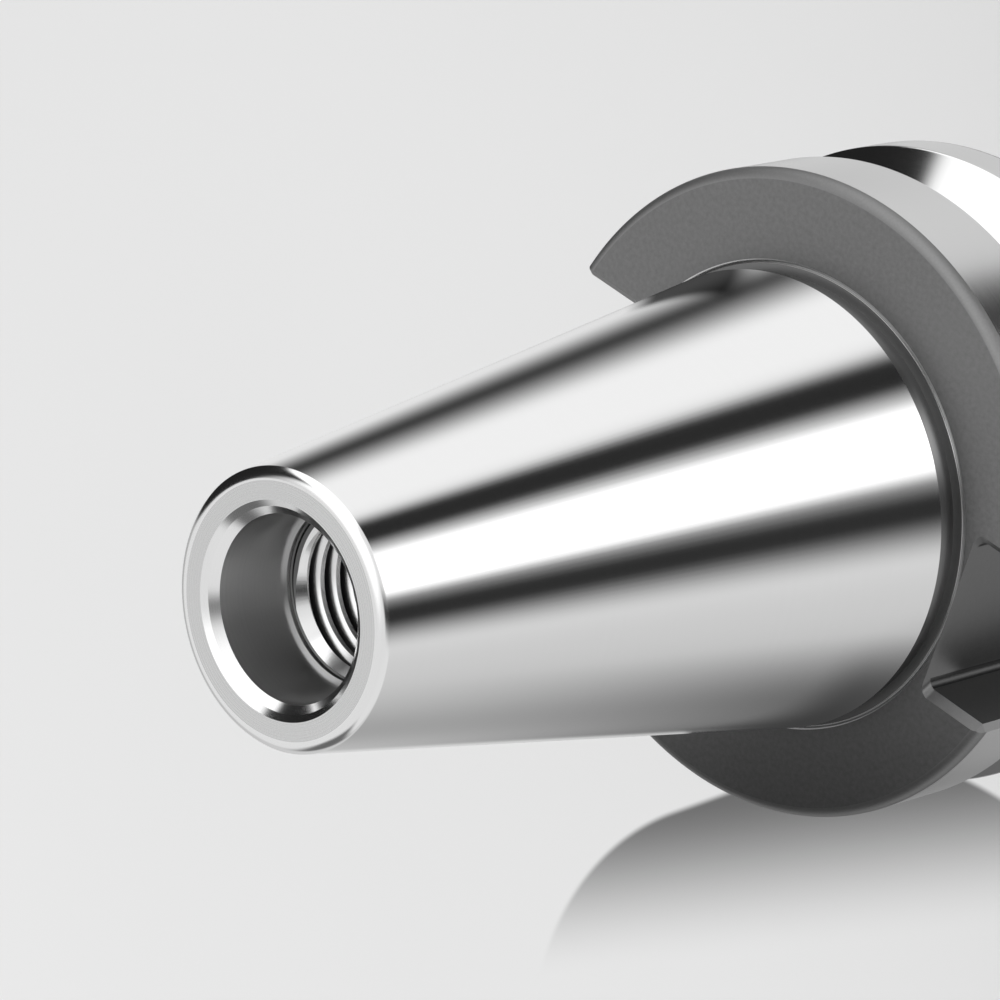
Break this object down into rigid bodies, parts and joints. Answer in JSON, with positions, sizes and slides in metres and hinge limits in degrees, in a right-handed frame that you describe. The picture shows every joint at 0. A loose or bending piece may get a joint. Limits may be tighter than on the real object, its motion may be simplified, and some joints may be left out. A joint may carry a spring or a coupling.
{
  "type": "collet chuck holder",
  "caption": "Steep-taper tool holder: ground shank, grooved drive flange, threaded nose with slit collet, clamping nut and depth stop.",
  "frame": {"origin": "centre of the clamping nut's front face, on which the holder stands", "axes": "+Z along the axis from the nut to the small end of the taper; +X through one drive slot"},
  "size_m": [0.061, 0.063, 0.1654],
  "materials": {
    "hardened_steel": "ground taper, fine-turned faces",
    "nut_steel": "fine turned",
    "collet_steel": "ground",
    "screw_steel": "blackened"
  },
  "bodies": {
    "holder": {"holder_body": "hardened_steel"},
    "collet": {"collet": "collet_steel"},
    "nut": {"clamping_nut": "nut_steel"},
    "stop": {"stop_screw": "screw_steel"}
  },
  "joints": [
    {"name": "collet_travel", "type": "slide", "parent": "holder", "child": "collet", "axis": [0, 0, -1], "range_m": [0, 0.012]},
    {"name": "nut_turn", "type": "hinge", "parent": "collet", "child": "nut", "pos_m": [0, 0, 0.0112], "axis": [0, 0, -1], "range_deg": [0, 2880]},
    {"name": "stop_adjust", "type": "slide", "parent": "holder", "child": "stop", "axis": [0, 0, 1], "range_m": [-0.006, 0.009]}
  ],
  "couplings": [
    {"joint": "collet_travel", "follows": "nut_turn", "m_per_rad": 0.00023873}
  ]
}
